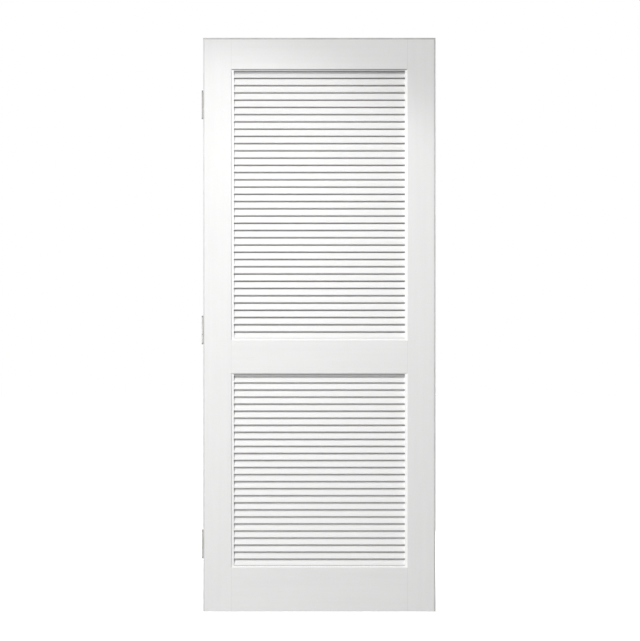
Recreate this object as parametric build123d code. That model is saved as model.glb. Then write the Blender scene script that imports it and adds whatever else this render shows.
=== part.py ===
"""A painted timber door leaf with two louvre panels, on three loose-pin butt hinges.

The leaf is a stile-and-rail frame. Each rail has a tenon in each stile, and is coped over the
bead that runs down the stile. Fixed slats close the two openings: each slat is let into a slot
in both stiles, and the end slats are let into the rails as well. The leaf swings away from the
side with the low slat edges.

Millimetres, X from the hinge edge to the lock edge, Y from the front face to the back face, Z up.
The model is drawn from the lower front corner of the leaf's hinge edge. It is written out from
the middle of the back of the lowest jamb hinge leaf, where the door is screwed to its frame.
"""
from build123d import *
import math
import os

os.makedirs("parts", exist_ok=True)

# Leaf
door_width = 826.0
door_height = 2040.0
door_thickness = 35.0
edge_round = 2.0

# Frame members: the width of each flat face, without its bead
stile_face = 99.0
top_rail_face = 110.5
lock_rail_face = 115.0
bottom_rail_face = 154.5
lower_opening = 693.5

# Bead round each opening: a bevel down to a flat ledge
bevel_width = 4.5
ledge_width = 5.0
ledge_depth = 5.0

# Tenons
tenon_thickness = 11.0
tenon_length = 48.0
tenon_shoulder = 18.0

# Louvre slats
upper_slat_pitch = 25.8
lower_slat_pitch = 25.1
upper_slat_groups = 6
lower_slat_groups = 5
slat_width = 32.0
slat_thickness = 6.0
slat_corner_cut = 1.6
slat_angle = 60.0
slat_in_stile = 9.0
slat_end_play = 0.5
slat_in_rail = 3.0
slat_fit = 0.2

# Butt hinges
hinge_height = 100.0
hinge_from_end = 237.0
middle_hinge_height = 1000.0
leaf_thickness = 2.5
leaf_gap = 2.4
leaf_backset = 4.25
leaf_corner_round = 6.0
leaf_fit = 0.2
knuckle_count = 5
knuckle_radius = 5.75
knuckle_gap = 0.3
knuckle_standoff = 1.0
knuckle_clearance = 0.5
pin_radius = 3.2
pin_running_fit = 0.05
pin_head_radius = 5.4
pin_head_height = 2.6
pin_head_ease = 0.9

# Screw holes in each hinge leaf: an outer pair near the free edge, an inner pair near the knuckles
screw_hole_radius = 2.5
countersink_radius = 4.2
outer_pair_spacing = 76.0
outer_pair_from_free_edge = 8.0
inner_pair_spacing = 26.0
inner_pair_from_free_edge = 21.0

# Worked out
bead_width = bevel_width + ledge_width
stile_width = stile_face + bead_width
middle_depth = door_thickness / 2
pin_x = -leaf_gap / 2
pin_y = door_thickness + knuckle_standoff + knuckle_radius
plate_end = pin_y - knuckle_radius - knuckle_clearance
hinge_heights = {
    "bottom": hinge_from_end,
    "middle": middle_hinge_height,
    "top": door_height - hinge_from_end,
}
bottom_rail_top = bottom_rail_face
lock_rail_bottom = bottom_rail_top + lower_opening
lock_rail_top = lock_rail_bottom + lock_rail_face
top_rail_bottom = door_height - top_rail_face
mount_point = (-leaf_gap - leaf_thickness, (leaf_backset + plate_end) / 2, hinge_from_end)


def block(low, high):
    """A box between two corners."""
    size = [high[i] - low[i] for i in range(3)]
    middle = [(high[i] + low[i]) / 2 for i in range(3)]
    return Pos(*middle) * Box(*size)


def mirrored_across_leaf(shape):
    """The same shape on the lock side."""
    return mirror(shape, about=Plane.YZ.offset(door_width / 2))


def stile_blank():
    """The hinge stile before joinery: eased outer edges, a bead down the inner edge."""
    bevel_end = stile_face + bevel_width
    back_ledge = door_thickness - ledge_depth
    outline = Polyline(
        (0, 0),
        (stile_face, 0),
        (bevel_end, ledge_depth),
        (stile_width, ledge_depth),
        (stile_width, back_ledge),
        (bevel_end, back_ledge),
        (stile_face, door_thickness),
        (0, door_thickness),
        close=True,
    )
    section = make_face(outline)
    section = fillet(section.vertices().sort_by(Axis.X)[:2], edge_round)
    return extrude(section, amount=door_height, dir=(0, 0, 1))


def rail_profile(low, high, bead_below, bead_above):
    """The front half of a rail's outline, from its lower to its upper edge, as (depth, height)."""
    points = []
    if bead_below:
        points.append((ledge_depth, low - bead_width))
        points.append((ledge_depth, low - bevel_width))
    points.append((0, low))
    points.append((0, high))
    if bead_above:
        points.append((ledge_depth, high + bevel_width))
        points.append((ledge_depth, high + bead_width))
    return points


def tenons(low, high):
    """The tenons at the two ends of a rail."""
    front = middle_depth - tenon_thickness / 2
    back = middle_depth + tenon_thickness / 2
    near = block(
        (stile_face - tenon_length, front, low + tenon_shoulder),
        (stile_width, back, high - tenon_shoulder),
    )
    return [near, mirrored_across_leaf(near)]


def rail(low, high, bead_below, bead_above):
    """A rail coped over the stiles' beads, with its tenons."""
    front = rail_profile(low, high, bead_below, bead_above)
    back = [(door_thickness - depth, height) for depth, height in reversed(front)]
    section = Plane.YZ.offset(stile_face) * make_face(Polyline(*front, *back, close=True))
    body = extrude(section, amount=door_width - 2 * stile_face, dir=(1, 0, 0))
    blank = stile_blank()
    body = body - blank - mirrored_across_leaf(blank)
    for tenon in tenons(low, high):
        body = body + tenon
    return body


def slat_plane(x, height):
    """A plane across the leaf, with its x axis up the slope of a slat."""
    slope = Vector(1, 0, 0).rotate(Axis.Z, slat_angle)
    return Plane(
        origin=(x, middle_depth, height),
        x_dir=(0, slope.X, slope.Y),
        z_dir=(1, 0, 0),
    )


def slat_outline(grow):
    """A slat's section with its four corners taken off, larger all round by this much."""
    outline = Rectangle(slat_width + 2 * grow, slat_thickness + 2 * grow)
    return chamfer(outline.vertices(), slat_corner_cut)


def slat(height):
    """One slat, centred at this height."""
    start = stile_width - slat_in_stile + slat_end_play
    section = slat_plane(start, height) * slat_outline(0.0)
    return extrude(section, amount=door_width - 2 * start, dir=(1, 0, 0))


def slat_slot(height, start, length):
    """The slot that a slat is let into."""
    section = slat_plane(start, height) * slat_outline(slat_fit)
    return extrude(section, amount=length, dir=(1, 0, 0))


def slat_rise():
    """How far one slat reaches from its low edge to its high edge."""
    box = slat(0.0).bounding_box()
    return box.size.Z


def slat_heights(opening_bottom, opening_top, pitch):
    """The centre heights of the slats in one opening, enough for the highest to reach its rail."""
    clear_bottom = opening_bottom + bead_width
    clear_height = opening_top - opening_bottom - 2 * bead_width
    lowest = clear_bottom - slat_in_rail + slat_rise() / 2
    count = math.ceil(clear_height / pitch)
    return [lowest + pitch * number for number in range(count)]


def leaf_outline(side_clearance):
    """The flat of a hinge leaf as seen along X, with two round corners on its free edge."""
    height = hinge_height + 2 * side_clearance
    free_edge = leaf_backset - side_clearance
    width = plate_end - free_edge
    outline = Pos(free_edge + width / 2, 0) * Rectangle(width, height)
    return fillet(outline.vertices().sort_by(Axis.X)[:2], leaf_corner_round)


def leaf_plate(x, height, thickness, side_clearance=0.0):
    """A hinge leaf's flat plate, or the recess for it."""
    plane = Plane(origin=(x, 0, height), x_dir=(0, 1, 0), z_dir=(1, 0, 0))
    return extrude(plane * leaf_outline(side_clearance), amount=thickness, dir=(1, 0, 0))


def screw_holes(face_x, inward, height):
    """Four countersunk holes, open at face_x and running inward (1 or -1) along X."""
    sink_depth = countersink_radius - screw_hole_radius
    places = (
        (outer_pair_from_free_edge, outer_pair_spacing / 2),
        (inner_pair_from_free_edge, inner_pair_spacing / 2),
    )
    tools = []
    for from_free_edge, rise in places:
        for side in (-1, 1):
            spot = Pos(face_x, leaf_backset + from_free_edge, height + side * rise)
            turn = Rot(0, 90 * inward, 0)
            bore = Cylinder(screw_hole_radius, 4 * leaf_thickness)
            sink = Cone(countersink_radius, screw_hole_radius, sink_depth)
            tools.append(spot * turn * bore)
            tools.append(spot * turn * Pos(0, 0, sink_depth / 2) * sink)
    return tools


def knuckle_levels(first):
    """The middle of every second knuckle, measured from the middle of the hinge."""
    pitch = hinge_height / knuckle_count
    return [(number + 0.5) * pitch - hinge_height / 2 for number in range(first, knuckle_count, 2)]


def hinge_leaf(plate_x, face_x, inward, first_knuckle, height):
    """A hinge leaf: plate, its own knuckles with the bore for the pin, and screw holes."""
    leaf = leaf_plate(plate_x, height, leaf_thickness)
    knuckle_length = hinge_height / knuckle_count - knuckle_gap
    bore_radius = pin_radius + pin_running_fit
    tab_end = pin_y - (knuckle_radius + bore_radius) / 2
    for level in knuckle_levels(first_knuckle):
        middle = height + level
        tab_bottom = middle - knuckle_length / 2
        tab_top = middle + knuckle_length / 2
        leaf = leaf + block(
            (plate_x, plate_end - knuckle_clearance, tab_bottom),
            (plate_x + leaf_thickness, tab_end, tab_top),
        )
        leaf = leaf + Pos(pin_x, pin_y, middle) * Cylinder(knuckle_radius, knuckle_length)
    leaf = leaf - Pos(pin_x, pin_y, height) * Cylinder(bore_radius, 2 * hinge_height)
    for tool in screw_holes(face_x, inward, height):
        leaf = leaf - tool
    return leaf


def jamb_leaf(height):
    """The leaf that is screwed to the door frame: three knuckles, countersunk towards the door."""
    return hinge_leaf(-leaf_gap - leaf_thickness, -leaf_gap, -1, 0, height)


def door_leaf(height):
    """The leaf that is let into the hinge stile: two knuckles, countersunk towards the frame."""
    return hinge_leaf(0.0, 0.0, 1, 1, height)


def hinge_pin(height):
    """A loose pin: its head rests on the top knuckle, and its foot is flush with the lowest one."""
    knuckles = hinge_height - knuckle_gap
    shank = Cylinder(pin_radius, knuckles)
    head = Cylinder(pin_head_radius, pin_head_height)
    head = chamfer(head.edges().sort_by(Axis.Z)[-1], pin_head_ease)
    pin = shank + Pos(0, 0, (knuckles + pin_head_height) / 2) * head
    return Pos(pin_x, pin_y, height) * pin


def finished_stile(slats):
    """The hinge stile's blank with its mortises and slat slots, but no hinge recesses."""
    stile = stile_blank()
    cutters = []
    rails = (
        (0.0, bottom_rail_top),
        (lock_rail_bottom, lock_rail_top),
        (top_rail_bottom, door_height),
    )
    for low, high in rails:
        cutters.append(tenons(low, high)[0])
    for height in slats:
        cutters.append(slat_slot(height, stile_width - slat_in_stile, 2 * slat_in_stile))
    return stile - cutters


def grooved(shape, heights):
    """A rail with grooves where these slats are let into it."""
    for height in heights:
        shape = shape - slat_slot(height, stile_face, door_width - 2 * stile_face)
    return shape


def write(name, shape):
    """Write one node, measured from the mount point."""
    placed = Pos(-mount_point[0], -mount_point[1], -mount_point[2]) * shape
    export_step(placed, os.path.join("parts", name + ".step"))


def write_slats(name, heights, groups):
    """Write the slats of one opening in a few nodes, each of neighbouring slats."""
    for group in range(groups):
        members = [
            slat(height)
            for number, height in enumerate(heights)
            if number * groups // len(heights) == group
        ]
        write(name + "_" + str(group + 1), Compound(members))


upper_slats = slat_heights(lock_rail_top, top_rail_bottom, upper_slat_pitch)
lower_slats = slat_heights(bottom_rail_top, lock_rail_bottom, lower_slat_pitch)

plain_stile = finished_stile(lower_slats + upper_slats)
hinge_stile = plain_stile
for level in hinge_heights.values():
    hinge_stile = hinge_stile - leaf_plate(0.0, level, leaf_thickness, leaf_fit)
write("hinge_stile", hinge_stile)
write("lock_stile", mirrored_across_leaf(plain_stile))

bottom_rail = rail(0.0, bottom_rail_top, False, True)
lock_rail = rail(lock_rail_bottom, lock_rail_top, True, True)
top_rail = rail(top_rail_bottom, door_height, True, False)
write("bottom_rail", grooved(bottom_rail, [lower_slats[0]]))
write("lock_rail", grooved(lock_rail, [lower_slats[-1], upper_slats[0]]))
write("top_rail", grooved(top_rail, [upper_slats[-1]]))

write_slats("upper_slats", upper_slats, upper_slat_groups)
write_slats("lower_slats", lower_slats, lower_slat_groups)

for place, level in hinge_heights.items():
    write("jamb_hinge_leaf_" + place, jamb_leaf(level))
    write("door_hinge_leaf_" + place, door_leaf(level))
    write("hinge_pin_" + place, hinge_pin(level))
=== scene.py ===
"""The finish, slats, screws and studio of a white louvred door leaf on three loose-pin butt hinges.

Metres, in the frame's own axes: X runs from the hinge edge to the lock edge, Y from the front face
to the back face, and Z up. The leaf swings away from the side that the camera sees.
"""
import math
import bpy
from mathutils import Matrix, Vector


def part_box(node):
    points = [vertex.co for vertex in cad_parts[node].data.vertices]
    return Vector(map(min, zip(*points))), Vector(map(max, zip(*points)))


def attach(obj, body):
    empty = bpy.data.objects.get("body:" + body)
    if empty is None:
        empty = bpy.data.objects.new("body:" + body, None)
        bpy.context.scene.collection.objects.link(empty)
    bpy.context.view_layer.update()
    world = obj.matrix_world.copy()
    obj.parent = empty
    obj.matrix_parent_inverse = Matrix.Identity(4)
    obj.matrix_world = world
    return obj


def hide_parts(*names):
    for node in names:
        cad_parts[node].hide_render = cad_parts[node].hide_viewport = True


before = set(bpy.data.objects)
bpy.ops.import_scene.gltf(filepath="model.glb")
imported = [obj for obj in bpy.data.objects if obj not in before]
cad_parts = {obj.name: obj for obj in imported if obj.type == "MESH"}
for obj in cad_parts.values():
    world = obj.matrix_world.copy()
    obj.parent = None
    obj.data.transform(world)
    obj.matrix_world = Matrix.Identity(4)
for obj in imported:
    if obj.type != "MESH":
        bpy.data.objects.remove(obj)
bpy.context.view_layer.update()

MM = 0.001

# Nodes of the frame, by finish
STILES = ("hinge_stile", "lock_stile")
RAILS = ("bottom_rail", "lock_rail", "top_rail")
slat_nodes = [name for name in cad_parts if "_slats_" in name]
hinge_leaf_nodes = [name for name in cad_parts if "_hinge_leaf_" in name]
pin_nodes = [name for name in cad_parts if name.startswith("hinge_pin_")]

# Leaf
leaf_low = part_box("hinge_stile")[0]
leaf_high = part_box("lock_stile")[1]
leaf_middle = (leaf_low + leaf_high) / 2
bead_width = 9.5 * MM
lip_height = 5.0 * MM
joint_off_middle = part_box("lock_stile")[0].x + bead_width - leaf_middle.x

# The lower edge of the lip at the top of each opening, and the upper edge of each sill
lower_lip_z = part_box("lock_rail")[0].z
upper_lip_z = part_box("top_rail")[0].z
lower_sill_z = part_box("bottom_rail")[1].z
upper_sill_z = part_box("lock_rail")[1].z

# Painted shade by each lip: on the bevel over it, on its upper and lower half, and on the slats
# below it
lip_shade = (
    (lower_lip_z, 0.0, 0.9, 0.65, 0.30),
    (upper_lip_z, 0.75, 0.25, 0.9, 0.0),
)
lip_margin = 0.5 * MM
under_lip_start = -8.0 * MM
under_lip_end = 5.5 * MM
under_lip_soft = 2.5 * MM

# The darkest painted shadow line on each lip, from and to so far above its lower edge
lip_shadow_lines = (
    (lower_lip_z, 3.0 * MM, 4.6 * MM),
    (upper_lip_z, -0.5 * MM, 1.9 * MM),
)
lip_shadow_strength = 0.95
lip_shadow_soft = 0.3 * MM

# Painted shade in the corner between each sill and the lowest slat, down to so far below the sill's
# edge
sill_shade = ((lower_sill_z, 1.0), (upper_sill_z, 0.7))
corner_start = -0.5 * MM
corner_end = 1.1 * MM
sill_margin = 0.2 * MM
bead_margin = 0.5 * MM

# The line of a joint between rail and stile
hairline_half_width = 1.1 * MM
hairline_strength = 0.45
hairline_sink = -1.5

# Painted shade on a slat: on its broad faces, known by the Z of their normals, where the next
# covers it
broad_face_start = (0.30, 0.48)
broad_face_end = (0.56, 0.80)
covered_start = (0.2 * MM, 1.8 * MM)
slat_shade = 0.97
rail_shade = 0.9

# Painted shade along the leaf's outer edges: less on the edge faces than on the front and back,
# which are known by the Y of their normals
edge_shade_reach = 7.0 * MM
edge_face_share = 0.25
edge_face_turn = (0.02, 0.25)

# Slats: the section and pitches of the frame's own
slat_width = 32.0 * MM
slat_thickness = 6.0 * MM
slat_edge_round = 2.2 * MM
slat_angle = math.radians(60.0)
slat_pitches = {"upper": 25.8 * MM, "lower": 25.1 * MM}

# Screws in the door's hinge leaves
HINGE_PLACES = ("bottom", "middle", "top")
screw_sides = 28
screw_head_radius = 4.0 * MM
screw_shank_radius = 2.3 * MM
screw_head_depth = 1.7 * MM
screw_shank_depth = 0.7 * MM
screw_rim_round = 0.18 * MM
screw_sunk = 0.1 * MM
recess_length = 4.4 * MM
recess_width = 1.0 * MM
recess_depth = 1.5 * MM
recess_taper = 0.35
# Each screw's distance behind the front face, and its height over the middle of the hinge leaf
screw_places = (
    (12.25 * MM, -38.0 * MM),
    (12.25 * MM, 38.0 * MM),
    (25.25 * MM, -13.0 * MM),
    (25.25 * MM, 13.0 * MM),
)
# How far the recesses of the second and later screws are turned from the first one's
screw_turns = (0.9, -0.4, 0.55, 1.2, -0.15, 0.75, 0.05, -0.7, 0.35, 1.05, -0.3)

smooth_angle = math.radians(30.0)

# Floor
floor_gap = 10.0 * MM
floor_reach = 40.0
shadow_start = 0.5
shadow_reach = 1.6
shadow_glow = 0.82

# Paint, dust, painted light and shade, and steel
FRAME_WHITE = (0.83, 0.83, 0.825, 1.0)
# The slats' white, lighter than the frame's: painted light for their faces tilted up to the lamps
LIT_SLAT_WHITE = (0.92, 0.92, 0.915, 1.0)
# Painted highlight: the whiter paint on the beads that face the lamps
BEAD_HIGHLIGHT_WHITE = (0.97, 0.97, 0.965, 1.0)
# Painted shade: the grey of the shade between the slats, under the lips and in the sills' corners
SHADE_GREY = (0.165, 0.163, 0.16, 1.0)
# Painted shadow: the near-black of the shadow line on each lip
LIP_SHADOW_GREY = (0.03, 0.03, 0.03, 1.0)
# Painted shade: the grey of the shade line along the leaf's outer edges
EDGE_SHADE_GREY = (0.42, 0.41, 0.40, 1.0)
HAIRLINE_GREY = (0.55, 0.54, 0.52, 1.0)
DUST_GREY = (0.66, 0.65, 0.62, 1.0)
STEEL = (0.40, 0.395, 0.385, 1.0)
PIN_STEEL = (0.36, 0.355, 0.345, 1.0)
FLOOR_GREY = (0.5, 0.5, 0.5, 1.0)


def add_node(tree, kind, **settings):
    """A new node with these settings."""
    made = tree.nodes.new(kind)
    for name, value in settings.items():
        setattr(made, name, value)
    return made


def feed(tree, socket, value):
    """Link an output to this input, or set the input's own value."""
    if isinstance(value, bpy.types.NodeSocket):
        tree.links.new(value, socket)
    else:
        socket.default_value = value


def work_out(tree, operation, *values, clamp=False):
    """The result of a sum on numbers or outputs."""
    made = add_node(tree, "ShaderNodeMath", operation=operation, use_clamp=clamp)
    for socket, value in zip(made.inputs, values):
        feed(tree, socket, value)
    return made.outputs[0]


def fade(tree, value, start, end, low=1.0, high=0.0):
    """A smooth change from low at start to high at end."""
    made = add_node(tree, "ShaderNodeMapRange", interpolation_type="SMOOTHSTEP")
    for label, number in (
        ("Value", value),
        ("From Min", start),
        ("From Max", end),
        ("To Min", low),
        ("To Max", high),
    ):
        feed(tree, made.inputs[label], number)
    return made.outputs["Result"]


def band(tree, value, low, high, strength, soft=0.4 * MM):
    """This strength between two values, with soft ends outside them."""
    rise = fade(tree, value, low - soft, low, 0.0, strength)
    return work_out(tree, "MULTIPLY", rise, fade(tree, value, high, high + soft))


def noise(tree, vector, scale, detail=2.0, roughness=0.5):
    """A noise value round 0.5."""
    made = add_node(tree, "ShaderNodeTexNoise")
    feed(tree, made.inputs["Vector"], vector)
    feed(tree, made.inputs["Scale"], scale)
    feed(tree, made.inputs["Detail"], detail)
    feed(tree, made.inputs["Roughness"], roughness)
    return made.outputs["Fac"]


def stretched(tree, vector, stretch):
    """The coordinates multiplied axis by axis."""
    made = add_node(tree, "ShaderNodeVectorMath", operation="MULTIPLY")
    feed(tree, made.inputs[0], vector)
    feed(tree, made.inputs[1], stretch)
    return made.outputs["Vector"]


def parted(tree, vector):
    """The X, Y and Z of a vector, as outputs."""
    made = add_node(tree, "ShaderNodeSeparateXYZ")
    feed(tree, made.inputs[0], vector)
    return made.outputs


def facing(tree):
    """The X, Y and Z of the surface's normal."""
    return parted(tree, add_node(tree, "ShaderNodeNewGeometry").outputs["Normal"])


def blended(tree, mask, plain, other):
    """A colour that changes from plain to other with the mask."""
    made = add_node(tree, "ShaderNodeMix", data_type="RGBA")
    feed(tree, made.inputs["Factor"], mask)
    feed(tree, made.inputs["A"], plain)
    feed(tree, made.inputs["B"], other)
    return made.outputs["Result"]


def raise_surface(tree, shader, height, distance, strength):
    """Bump from a height, on the shader's normal."""
    bump = add_node(tree, "ShaderNodeBump")
    feed(tree, bump.inputs["Height"], height)
    bump.inputs["Distance"].default_value = distance
    bump.inputs["Strength"].default_value = strength
    feed(tree, shader.inputs["Normal"], bump.outputs["Normal"])


def seen_directly(tree):
    """1 on rays from the camera and through reflections and glass, 0 on those that only light."""
    path = add_node(tree, "ShaderNodeLightPath").outputs
    seen = work_out(tree, "MAXIMUM", path["Is Camera Ray"], path["Is Glossy Ray"])
    return work_out(tree, "MAXIMUM", seen, path["Is Transmission Ray"])


def new_group(name, inputs, outputs):
    """An empty node group with these named sockets: label, kind and start value of each input."""
    group = bpy.data.node_groups.new(name, "ShaderNodeTree")
    for label, kind, value in inputs:
        socket = group.interface.new_socket(label, in_out="INPUT", socket_type=kind)
        socket.default_value = value
    for label, kind in outputs:
        group.interface.new_socket(label, in_out="OUTPUT", socket_type=kind)
    given = group.nodes.new("NodeGroupInput").outputs
    result = group.nodes.new("NodeGroupOutput").inputs
    return group, given, result


def use_group(tree, group, **values):
    """The group placed in a material, with its own values. An underscore stands for a space."""
    made = add_node(tree, "ShaderNodeGroup", node_tree=group)
    for label, value in values.items():
        feed(tree, made.inputs[label.replace("_", " ")], value)
    return made.outputs


def paint_tone_group():
    """Uneven cover of white paint: broad soft patches and fine specks, as a factor near 1."""
    group, given, result = new_group(
        "paint_tone",
        [
            ("Vector", "NodeSocketVector", (0.0, 0.0, 0.0)),
            ("Patch Size", "NodeSocketFloat", 0.12),
            ("Patch Depth", "NodeSocketFloat", 0.01),
            ("Speck Size", "NodeSocketFloat", 0.008),
            ("Speck Depth", "NodeSocketFloat", 0.01),
        ],
        [("Tone", "NodeSocketFloat")],
    )
    # Noise strays about a quarter either side of its middle, so four times that is one depth
    noise_middle, noise_gain = 0.5, 4.0
    total = 1.0
    for size, depth in (("Patch Size", "Patch Depth"), ("Speck Size", "Speck Depth")):
        scale = work_out(group, "DIVIDE", 1.0, given[size])
        wave = noise(group, given["Vector"], scale, detail=3.0, roughness=0.6)
        wave = work_out(group, "SUBTRACT", wave, noise_middle)
        wave = work_out(group, "MULTIPLY", wave, given[depth])
        total = work_out(group, "MULTIPLY_ADD", wave, noise_gain, total)
    feed(group, result["Tone"], total)
    return group


def timber_grain_group():
    """Grain that shows faintly through paint, and brush marks along it."""
    group, given, result = new_group(
        "timber_grain",
        [
            ("Vector", "NodeSocketVector", (0.0, 0.0, 0.0)),
            ("Grain Stretch", "NodeSocketVector", (60.0, 60.0, 2.0)),
            ("Brush Stretch", "NodeSocketVector", (700.0, 700.0, 6.0)),
        ],
        [("Grain", "NodeSocketFloat"), ("Brush", "NodeSocketFloat")],
    )
    along_grain = stretched(group, given["Vector"], given["Grain Stretch"])
    along_brush = stretched(group, given["Vector"], given["Brush Stretch"])
    grain = noise(group, along_grain, 1.0, detail=3.0, roughness=0.65)
    brush = noise(group, along_brush, 1.0, detail=2.0, roughness=0.5)
    feed(group, result["Grain"], grain)
    feed(group, result["Brush"], brush)
    return group


def edge_shade_lines_group():
    """A mask along the four outer edges of the leaf, for a painted shade line, broken by noise."""
    group, given, result = new_group(
        "edge_shade_lines",
        [
            ("Vector", "NodeSocketVector", (0.0, 0.0, 0.0)),
            ("Low Corner", "NodeSocketVector", (0.0, 0.0, 0.0)),
            ("High Corner", "NodeSocketVector", (1.0, 1.0, 1.0)),
            ("Reach", "NodeSocketFloat", 0.003),
            ("Hinge Edge", "NodeSocketFloat", 0.3),
            ("Lock Edge", "NodeSocketFloat", 0.6),
            ("Foot Edge", "NodeSocketFloat", 0.2),
            ("Top Edge", "NodeSocketFloat", 0.6),
        ],
        [("Mask", "NodeSocketFloat")],
    )
    place = parted(group, given["Vector"])
    low = parted(group, given["Low Corner"])
    high = parted(group, given["High Corner"])
    total = 0.0
    half_reach = work_out(group, "MULTIPLY", given["Reach"], 0.5)
    for label, larger, smaller in (
        ("Hinge Edge", place["X"], low["X"]),
        ("Lock Edge", high["X"], place["X"]),
        ("Foot Edge", place["Z"], low["Z"]),
        ("Top Edge", high["Z"], place["Z"]),
    ):
        inward = work_out(group, "SUBTRACT", larger, smaller)
        mask = fade(group, inward, half_reach, given["Reach"])
        mask = work_out(group, "MULTIPLY", mask, given[label])
        total = work_out(group, "MAXIMUM", total, mask)
    uneven = noise(group, given["Vector"], 24.0, detail=3.0, roughness=0.7)
    uneven = fade(group, uneven, 0.25, 0.7, low=0.6, high=1.0)
    feed(group, result["Mask"], work_out(group, "MULTIPLY", total, uneven, clamp=True))
    return group


def settled_dust_group():
    """A mask on faces that look up, with a broken edge."""
    group, given, result = new_group(
        "settled_dust",
        [
            ("Vector", "NodeSocketVector", (0.0, 0.0, 0.0)),
            ("Amount", "NodeSocketFloat", 0.4),
        ],
        [("Mask", "NodeSocketFloat")],
    )
    upward = fade(group, facing(group)["Z"], 0.75, 0.98, low=0.0, high=1.0)
    cloud = noise(group, given["Vector"], 30.0, detail=4.0, roughness=0.65)
    cloud = fade(group, cloud, 0.35, 0.65, low=0.3, high=1.0)
    mask = work_out(group, "MULTIPLY", upward, cloud)
    feed(group, result["Mask"], work_out(group, "MULTIPLY", mask, given["Amount"], clamp=True))
    return group


def brushed_steel_group():
    """Fine parallel scratches and soft stains on a steel plate."""
    group, given, result = new_group(
        "brushed_steel",
        [
            ("Vector", "NodeSocketVector", (0.0, 0.0, 0.0)),
            ("Scratch Stretch", "NodeSocketVector", (4000.0, 4000.0, 60.0)),
        ],
        [("Scratch", "NodeSocketFloat"), ("Stain", "NodeSocketFloat")],
    )
    along_scratch = stretched(group, given["Vector"], given["Scratch Stretch"])
    scratch = noise(group, along_scratch, 1.0, detail=2.0, roughness=0.6)
    stain = noise(group, given["Vector"], 45.0, detail=3.0, roughness=0.55)
    feed(group, result["Scratch"], scratch)
    feed(group, result["Stain"], stain)
    return group


paint_tone = paint_tone_group()
timber_grain = timber_grain_group()
edge_shade_lines = edge_shade_lines_group()
settled_dust = settled_dust_group()
brushed_steel = brushed_steel_group()


def new_material(name):
    """A material with its Principled BSDF and the object coordinates that its patterns read."""
    made = bpy.data.materials.new(name)
    made.use_nodes = True
    tree = made.node_tree
    shader = tree.nodes["Principled BSDF"]
    place = add_node(tree, "ShaderNodeTexCoord").outputs["Object"]
    return made, tree, shader, place


def off_middle(tree, across):
    """The distance from the upright line through the leaf's middle."""
    from_middle = work_out(tree, "SUBTRACT", across, leaf_middle.x)
    return work_out(tree, "ABSOLUTE", from_middle)


def near_joints(tree, across):
    """A mask on the two lines where the rails meet the stiles."""
    off_joint = work_out(tree, "SUBTRACT", joint_off_middle, off_middle(tree, across))
    off_joint = work_out(tree, "ABSOLUTE", off_joint)
    return fade(tree, off_joint, hairline_half_width / 2, hairline_half_width)


def beside_openings(tree, across):
    """A mask on the stiles' beads, between the joint lines and the slats."""
    inner_side = joint_off_middle - bead_margin
    return fade(tree, off_middle(tree, across), inner_side, joint_off_middle)


def between_slats(tree, spot):
    """A mask for painted shade on the parts of each slat that the next one covers, and below the
    lips.
    """
    normal = facing(tree)
    back_of_middle = work_out(tree, "SUBTRACT", spot["Y"], leaf_middle.y)
    front_of_middle = work_out(tree, "MULTIPLY", back_of_middle, -1.0)
    downward = work_out(tree, "MULTIPLY", normal["Z"], -1.0)
    total = 0.0
    for slope, towards in ((normal["Z"], back_of_middle), (downward, front_of_middle)):
        broad = fade(tree, slope, *broad_face_start, low=0.0, high=1.0)
        covered = fade(tree, towards, *covered_start, low=0.0, high=1.0)
        part = work_out(tree, "MULTIPLY", broad, covered)
        part = work_out(tree, "MULTIPLY", part, fade(tree, slope, *broad_face_end))
        total = work_out(tree, "MAXIMUM", total, part)
    for lip_z, _, _, _, on_slats in lip_shade:
        below = work_out(tree, "SUBTRACT", lip_z, spot["Z"])
        inside = band(tree, below, under_lip_start, under_lip_end, 1.0, under_lip_soft)
        outside = work_out(tree, "SUBTRACT", 1.0, inside)
        total = work_out(tree, "MULTIPLY", total, outside)
        total = work_out(tree, "MULTIPLY_ADD", inside, on_slats, total)
    return total


def under_rails(tree, height):
    """A mask for painted shade on the beads below the top and lock rails: their bevels and their
    lips.
    """
    total = 0.0
    for lip_z, on_bevel, on_upper_half, on_lower_half, _ in lip_shade:
        above = work_out(tree, "SUBTRACT", height, lip_z)
        for low, high, strength in (
            (lip_height, bead_width, on_bevel),
            (lip_height / 2, lip_height, on_upper_half),
            (-lip_margin, lip_height / 2, on_lower_half),
        ):
            total = work_out(tree, "MAXIMUM", total, band(tree, above, low, high, strength))
    return total


def over_sills(tree, height, low, high, with_shade=False):
    """A mask on the beads above the bottom and lock rails, from low to high below their top;
    painted highlight goes there, and painted shade in the corners.
    """
    total = 0.0
    for sill_z, painted_shade in sill_shade:
        below = work_out(tree, "SUBTRACT", sill_z, height)
        strength = painted_shade if with_shade else 1.0
        total = work_out(tree, "MAXIMUM", total, band(tree, below, low, high, strength))
    return total


def mark_stile(tree, spot, colour, height):
    """Painted highlight: whiter paint on the beads beside the openings."""
    return blended(tree, beside_openings(tree, spot["X"]), colour, BEAD_HIGHLIGHT_WHITE), height


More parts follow.
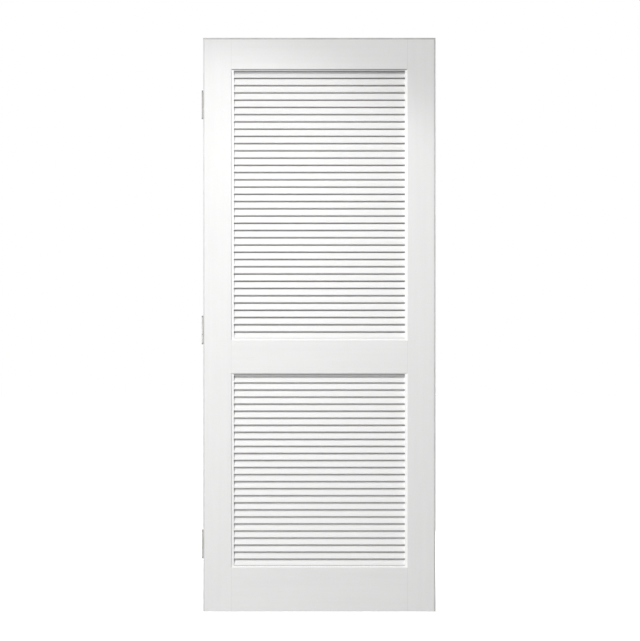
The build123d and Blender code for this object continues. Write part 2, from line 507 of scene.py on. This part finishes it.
def mark_rail(tree, spot, colour, height):
    """Painted highlight on the sill beads, painted shade in corners and under lips, joint lines."""
    upward = spot["Z"]
    # Painted highlight on the beads over the sills
    sill_highlight = over_sills(tree, upward, 0.0, bead_width - sill_margin)
    colour = blended(tree, sill_highlight, colour, BEAD_HIGHLIGHT_WHITE)
    # Painted shade in the sills' corners and under the lips
    corner = over_sills(tree, upward, corner_start, corner_end, with_shade=True)
    painted_shade = work_out(tree, "MAXIMUM", under_rails(tree, upward), corner)
    painted_shade = work_out(tree, "MULTIPLY", painted_shade, rail_shade)
    colour = blended(tree, painted_shade, colour, SHADE_GREY)
    # Painted shadow line on each lip
    for lip_z, low, high in lip_shadow_lines:
        above = work_out(tree, "SUBTRACT", upward, lip_z)
        line = band(tree, above, low, high, lip_shadow_strength, lip_shadow_soft)
        colour = blended(tree, line, colour, LIP_SHADOW_GREY)
    joint = near_joints(tree, spot["X"])
    hairline = work_out(tree, "MULTIPLY", joint, hairline_strength)
    colour = blended(tree, hairline, colour, HAIRLINE_GREY)
    return colour, work_out(tree, "MULTIPLY_ADD", joint, hairline_sink, height)


def mark_slat(tree, spot, colour, height):
    """Painted shade between the slats and below the lips."""
    # Painted shade between the slats and below the lips
    painted_shade = work_out(tree, "MULTIPLY", between_slats(tree, spot), slat_shade)
    return blended(tree, painted_shade, colour, SHADE_GREY), height


def painted_timber(name, white, grain_stretch, brush_stretch, mark):
    """White satin paint, with its marks, on timber with grain along the least stretched axis."""
    made, tree, shader, place = new_material(name)
    tone = use_group(
        tree, paint_tone, Vector=place, Patch_Size=0.16, Patch_Depth=0.006,
        Speck_Size=0.007, Speck_Depth=0.008,
    )["Tone"]
    grain = use_group(
        tree, timber_grain, Vector=place, Grain_Stretch=grain_stretch, Brush_Stretch=brush_stretch,
    )
    # Painted shade line along the leaf's outer edges
    edge = use_group(
        tree, edge_shade_lines, Vector=place, Low_Corner=leaf_low, High_Corner=leaf_high,
        Reach=edge_shade_reach, Hinge_Edge=0.36, Lock_Edge=0.76, Foot_Edge=0.08, Top_Edge=0.86,
    )["Mask"]
    frontward = work_out(tree, "ABSOLUTE", facing(tree)["Y"])
    share = fade(tree, frontward, *edge_face_turn, low=edge_face_share, high=1.0)
    edge = work_out(tree, "MULTIPLY", edge, share)
    dust = use_group(tree, settled_dust, Vector=place, Amount=0.35)["Mask"]

    grain_tone = fade(tree, grain["Grain"], 0.3, 0.7, low=0.988, high=1.006)
    tone = work_out(tree, "MULTIPLY", tone, grain_tone)
    plain = add_node(tree, "ShaderNodeVectorMath", operation="SCALE")
    plain.inputs[0].default_value = white[:3]
    feed(tree, plain.inputs["Scale"], tone)
    colour = blended(tree, edge, plain.outputs["Vector"], EDGE_SHADE_GREY)
    colour = blended(tree, dust, colour, DUST_GREY)

    grain_height, brush_height = 0.6, 0.4
    height = work_out(tree, "MULTIPLY", grain["Grain"], grain_height)
    height = work_out(tree, "MULTIPLY_ADD", grain["Brush"], brush_height, height)
    colour, height = mark(tree, parted(tree, place), colour, height)
    feed(tree, shader.inputs["Base Color"], colour)
    raise_surface(tree, shader, height, distance=0.08 * MM, strength=0.6)

    dust_roughness = 0.3
    rough = fade(tree, grain["Brush"], 0.3, 0.7, low=0.40, high=0.52)
    rough = work_out(tree, "MULTIPLY_ADD", dust, dust_roughness, rough)
    feed(tree, shader.inputs["Roughness"], rough)
    return made


def steel(name, colour, scratch_stretch):
    """Satin steel, scratched one way, with faint stains."""
    made, tree, shader, place = new_material(name)
    marks = use_group(tree, brushed_steel, Vector=place, Scratch_Stretch=scratch_stretch)
    stained_share = 0.7
    stained = tuple(stained_share * part for part in colour[:3]) + (1.0,)
    stain = fade(tree, marks["Stain"], 0.40, 0.70, low=0.0, high=0.22)
    feed(tree, shader.inputs["Base Color"], blended(tree, stain, colour, stained))
    shader.inputs["Metallic"].default_value = 1.0
    rough = fade(tree, marks["Scratch"], 0.3, 0.7, low=0.34, high=0.48)
    feed(tree, shader.inputs["Roughness"], rough)
    raise_surface(tree, shader, marks["Scratch"], distance=0.02 * MM, strength=0.5)
    return made


def finish_nodes(names, material):
    """Put one material on every slot of these frame nodes."""
    for name in names:
        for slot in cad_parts[name].material_slots:
            slot.material = material


upright = (55.0, 55.0, 2.2)
upright_brush = (900.0, 900.0, 9.0)
level = (2.2, 55.0, 55.0)
level_brush = (9.0, 900.0, 900.0)
stile_paint = painted_timber("stile_paint", FRAME_WHITE, upright, upright_brush, mark_stile)
rail_paint = painted_timber("rail_paint", FRAME_WHITE, level, level_brush, mark_rail)
slat_paint = painted_timber("slat_paint", LIT_SLAT_WHITE, level, level_brush, mark_slat)
hinge_steel = steel("hinge_steel", STEEL, (3500.0, 3500.0, 50.0))
pin_steel = steel("pin_steel", PIN_STEEL, (60.0, 60.0, 3500.0))

finish_nodes(STILES, stile_paint)
finish_nodes(RAILS, rail_paint)
finish_nodes(slat_nodes, slat_paint)
finish_nodes(hinge_leaf_nodes, hinge_steel)
finish_nodes(pin_nodes, pin_steel)


def deselect_all():
    """Leave nothing selected."""
    bpy.ops.object.select_all(action="DESELECT")


def choose(piece):
    """Select this piece alone and make it active."""
    deselect_all()
    piece.select_set(True)
    bpy.context.view_layer.objects.active = piece


def pick(elements, wanted):
    """Select the faces or edges of the mesh in edit mode that pass this test."""
    bpy.ops.mesh.select_all(action="DESELECT")
    bpy.ops.object.mode_set(mode="OBJECT")
    mesh = bpy.context.object.data
    for element in getattr(mesh, elements):
        element.select = wanted(mesh, element)
    bpy.ops.object.mode_set(mode="EDIT")


def runs_along_x(mesh, edge):
    """True for an edge that is parallel to X."""
    level_within = 0.1 * MM
    one, other = (mesh.vertices[index].co for index in edge.vertices)
    return abs(one.y - other.y) < level_within and abs(one.z - other.z) < level_within


def faces_x(side):
    """A test for faces square to X, on this side: 1 or -1."""
    nearly_square = 0.9
    return lambda mesh, face: side * face.normal.x > nearly_square


def settle(piece):
    """Put the piece's place, turn and size into its mesh."""
    choose(piece)
    bpy.ops.object.transform_apply(location=True, rotation=True, scale=True)


def another(piece, move):
    """A copy of the piece with its own mesh, moved by this much."""
    choose(piece)
    bpy.ops.object.duplicate()
    made = bpy.context.object
    bpy.ops.transform.translate(value=move)
    settle(made)
    return made


def rounded_slat(low, high, height):
    """One slat between these ends, with its two long edges rounded over."""
    deselect_all()
    bpy.ops.mesh.primitive_cube_add(
        size=1.0,
        location=((low.x + high.x) / 2, leaf_middle.y, height),
        rotation=(slat_angle, 0.0, 0.0),
        scale=(high.x - low.x, slat_width, slat_thickness),
    )
    slat = bpy.context.object
    settle(slat)
    bpy.ops.object.mode_set(mode="EDIT")
    bpy.ops.mesh.select_mode(type="EDGE")
    pick("edges", runs_along_x)
    bpy.ops.mesh.bevel(offset=slat_edge_round, segments=5, affect="EDGES")
    bpy.ops.object.mode_set(mode="OBJECT")
    bpy.ops.object.shade_smooth_by_angle(angle=smooth_angle)
    return slat


def slat_bank(node):
    """The slats that stand for one node of the frame, as one piece."""
    low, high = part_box(node)
    pitch = slat_pitches[node.split("_")[0]]
    count = int((high.z - low.z) / pitch)
    first = (low.z + high.z - pitch * (count - 1)) / 2
    slat = rounded_slat(low, high, first)
    slats = [slat]
    for number in range(1, count):
        slats.append(another(slat, (0.0, 0.0, number * pitch)))
    choose(slat)
    for one in slats:
        one.select_set(True)
    bpy.ops.object.join()
    slat.name = "rounded_" + node
    slat.data.materials.append(slat_paint)
    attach(slat, "door")
    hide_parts(node)


for node in slat_nodes:
    slat_bank(node)


def recess_arm(spot, turn):
    """A cutter for one arm of a screw's cross recess, narrower at its bottom."""
    deselect_all()
    bpy.ops.mesh.primitive_cube_add(
        size=1.0, location=spot, rotation=(turn, 0.0, 0.0),
        scale=(2 * recess_depth, recess_length, recess_width),
    )
    arm = bpy.context.object
    settle(arm)
    bpy.ops.object.mode_set(mode="EDIT")
    bpy.ops.mesh.select_mode(type="FACE")
    pick("polygons", faces_x(1))
    bpy.ops.transform.resize(value=(1.0, recess_taper, recess_taper))
    bpy.ops.object.mode_set(mode="OBJECT")
    return arm


def countersunk_screw(face_x, y, z):
    """A cross-recess screw in a hinge leaf, its head open towards -X."""
    deselect_all()
    head_x = face_x + screw_sunk
    bpy.ops.mesh.primitive_cone_add(
        vertices=screw_sides, radius1=screw_shank_radius, radius2=screw_head_radius,
        depth=screw_head_depth, location=(head_x + screw_head_depth / 2, y, z),
        rotation=(0.0, -math.pi / 2, 0.0),
    )
    screw = bpy.context.object
    settle(screw)
    bpy.ops.object.mode_set(mode="EDIT")
    bpy.ops.mesh.select_mode(type="FACE")
    pick("polygons", faces_x(1))
    shank = {"value": (screw_shank_depth, 0.0, 0.0)}
    bpy.ops.mesh.extrude_region_move(TRANSFORM_OT_translate=shank)
    pick("polygons", faces_x(-1))
    bpy.ops.mesh.bevel(offset=screw_rim_round, segments=2, affect="EDGES")
    bpy.ops.object.mode_set(mode="OBJECT")
    arms = [recess_arm((head_x, y, z), turn) for turn in (math.pi / 4, -math.pi / 4)]
    for arm in arms:
        choose(screw)
        cut = screw.modifiers.new("cross_recess", "BOOLEAN")
        cut.operation = "DIFFERENCE"
        cut.object = arm
        bpy.ops.object.modifier_apply(modifier=cut.name)
        bpy.data.objects.remove(arm, do_unlink=True)
    bpy.ops.object.shade_smooth_by_angle(angle=smooth_angle)
    screw.data.materials.append(hinge_steel)
    return screw


def turn_screw(screw, centre, angle):
    """Turn a screw on its own axis."""
    choose(screw)
    bpy.ops.object.mode_set(mode="EDIT")
    bpy.ops.mesh.select_all(action="SELECT")
    bpy.ops.transform.rotate(value=angle, orient_axis="X", center_override=centre)
    bpy.ops.object.mode_set(mode="OBJECT")


def screw_the_leaves():
    """Four screws in each of the door's hinge leaves, recesses turned as they came to rest."""
    first = None
    turns = iter(screw_turns)
    for place in HINGE_PLACES:
        low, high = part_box("door_hinge_leaf_" + place)
        middle = (low.z + high.z) / 2
        for number, (y, rise) in enumerate(screw_places, 1):
            spot = (leaf_low.x, leaf_low.y + y, middle + rise)
            if first is None:
                first = screw = countersunk_screw(*spot)
                first_spot = spot
            else:
                screw = another(first, tuple(a - b for a, b in zip(spot, first_spot)))
                turn_screw(screw, spot, next(turns))
            screw.name = "leaf_screw_%s_%d" % (place, number)
            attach(screw, "door")


screw_the_leaves()


def floor_material():
    """Pale floor: it keeps the shadow near the leaf and is plain white further off."""
    made, tree, shader, place = new_material("floor_white")
    tree.nodes.remove(shader)
    centred = add_node(tree, "ShaderNodeVectorMath", operation="SUBTRACT")
    feed(tree, centred.inputs[0], place)
    centred.inputs[1].default_value = (leaf_middle.x, leaf_middle.y, leaf_low.z)
    length = add_node(tree, "ShaderNodeVectorMath", operation="LENGTH")
    feed(tree, length.inputs[0], centred.outputs["Vector"])
    distance = length.outputs["Value"]
    glow = fade(tree, distance, shadow_start, shadow_reach, low=shadow_glow, high=1.0)
    glow = work_out(tree, "MULTIPLY", glow, seen_directly(tree))
    plain = add_node(tree, "ShaderNodeBsdfDiffuse")
    plain.inputs["Color"].default_value = FLOOR_GREY
    white = add_node(tree, "ShaderNodeEmission")
    feed(tree, white.inputs["Strength"], glow)
    both = add_node(tree, "ShaderNodeAddShader")
    feed(tree, both.inputs[0], plain.outputs["BSDF"])
    feed(tree, both.inputs[1], white.outputs["Emission"])
    feed(tree, tree.nodes["Material Output"].inputs["Surface"], both.outputs["Shader"])
    return made


deselect_all()
bpy.ops.mesh.primitive_plane_add(size=2 * floor_reach, location=(0.0, 0.0, leaf_low.z - floor_gap))
floor = bpy.context.object
floor.name = "floor"
bpy.ops.object.transform_apply(location=True, rotation=False, scale=False)
floor.data.materials.append(floor_material())


def white_world(ambient):
    """White to the camera and in reflections, and a softer light on everything else."""
    world = bpy.data.worlds.new("white_studio")
    world.use_nodes = True
    tree = world.node_tree
    background = tree.nodes["Background"]
    background.inputs["Color"].default_value = (1.0, 1.0, 1.0, 1.0)
    strength = work_out(tree, "MULTIPLY_ADD", seen_directly(tree), 1.0 - ambient, ambient)
    feed(tree, background.inputs["Strength"], strength)
    bpy.context.scene.world = world


def hang(lamp, spot, target):
    """Put a lamp in the scene at spot, pointing towards target."""
    made = bpy.data.objects.new(lamp.name, lamp)
    made.location = spot
    made.rotation_euler = (Vector(target) - Vector(spot)).to_track_quat("-Z", "Y").to_euler()
    bpy.context.scene.collection.objects.link(made)


def soft_lamp(name, spot, target, size, power):
    """A square soft lamp."""
    lamp = bpy.data.lights.new(name, "AREA")
    lamp.size = size
    lamp.energy = power
    hang(lamp, spot, target)


def near_spot(spot, target, size, power, half_angle, edge_blend):
    """A spot close to the leaf, for the bright patch with a soft upper edge at the upper left."""
    lamp = bpy.data.lights.new("near_spot", "SPOT")
    lamp.energy = power
    lamp.shadow_soft_size = size
    lamp.spot_size = 2 * half_angle
    lamp.spot_blend = edge_blend
    hang(lamp, spot, target)


white_world(ambient=0.10)
soft_lamp("key_lamp", (-4.4, -9.3, 8.0), (0.4, 0.0, 0.8), size=1.6, power=600.0)
soft_lamp("low_lamp", (-1.1, -4.0, 0.45), (0.4, 0.0, 0.5), size=1.0, power=70.0)
soft_lamp("back_lamp", (2.4, 5.0, 1.3), (0.4, 0.0, 0.8), size=2.0, power=240.0)
near_spot(
    (0.284, -0.904, 1.43), (0.034, 0.0, 0.523),
    size=0.06, power=8.9, half_angle=1.234, edge_blend=0.289,
)

# Camera: square on, from far off, so that the photograph's frame has the leaf at its size and place
photo_wide_px = 640
photo_high_px = 641
leaf_left_px = 202.6
leaf_right_px = 436.1
leaf_top_px = 37.9
leaf_foot_px = 611.45
camera_distance = 14.0
film_wide = 36.0

metres_per_px = (leaf_high.z - leaf_low.z) / (leaf_foot_px - leaf_top_px)
view_x = leaf_middle.x + (photo_wide_px - leaf_left_px - leaf_right_px) / 2 * metres_per_px
view_z = leaf_middle.z - (photo_high_px - leaf_top_px - leaf_foot_px) / 2 * metres_per_px
camera_data = bpy.data.cameras.new("camera")
camera_data.sensor_fit = "HORIZONTAL"
camera_data.sensor_width = film_wide
camera_data.lens = film_wide * camera_distance / (photo_wide_px * metres_per_px)
camera_data.clip_end = 200.0
camera = bpy.data.objects.new("camera", camera_data)
camera.location = (view_x, leaf_low.y - camera_distance, view_z)
camera.rotation_euler = (math.pi / 2, 0.0, 0.0)
bpy.context.scene.collection.objects.link(camera)
bpy.context.scene.camera = camera
bpy.context.scene.view_settings.view_transform = "Standard"
